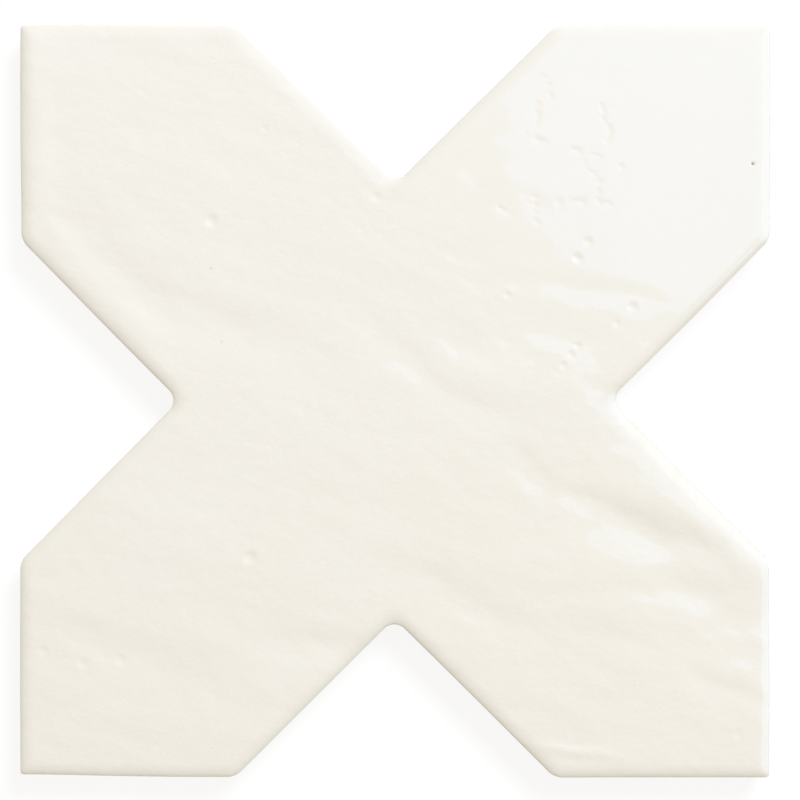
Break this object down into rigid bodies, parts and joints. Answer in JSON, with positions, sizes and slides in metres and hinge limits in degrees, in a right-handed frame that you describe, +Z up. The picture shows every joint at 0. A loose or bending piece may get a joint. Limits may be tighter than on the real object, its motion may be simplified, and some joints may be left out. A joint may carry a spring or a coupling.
{
  "type": "porcelain cross tile",
  "caption": "Cross-shaped glazed porcelain tile with pointed arms, right-angled notches that take the points of star tiles, soft edges and a keyed back for adhesive.",
  "frame": {"origin": "centre of the back, on the plane of its ribs", "axes": "+Z up, out of the glazed face; +X and +Y along the sides of the square that the cross fills"},
  "size_m": [0.1324, 0.1324, 0.009],
  "materials": {
    "glazed_porcelain": "satin ivory glaze, uneven as if hand made"
  },
  "bodies": {
    "root": {"cross_tile": "glazed_porcelain"}
  },
  "joints": []
}
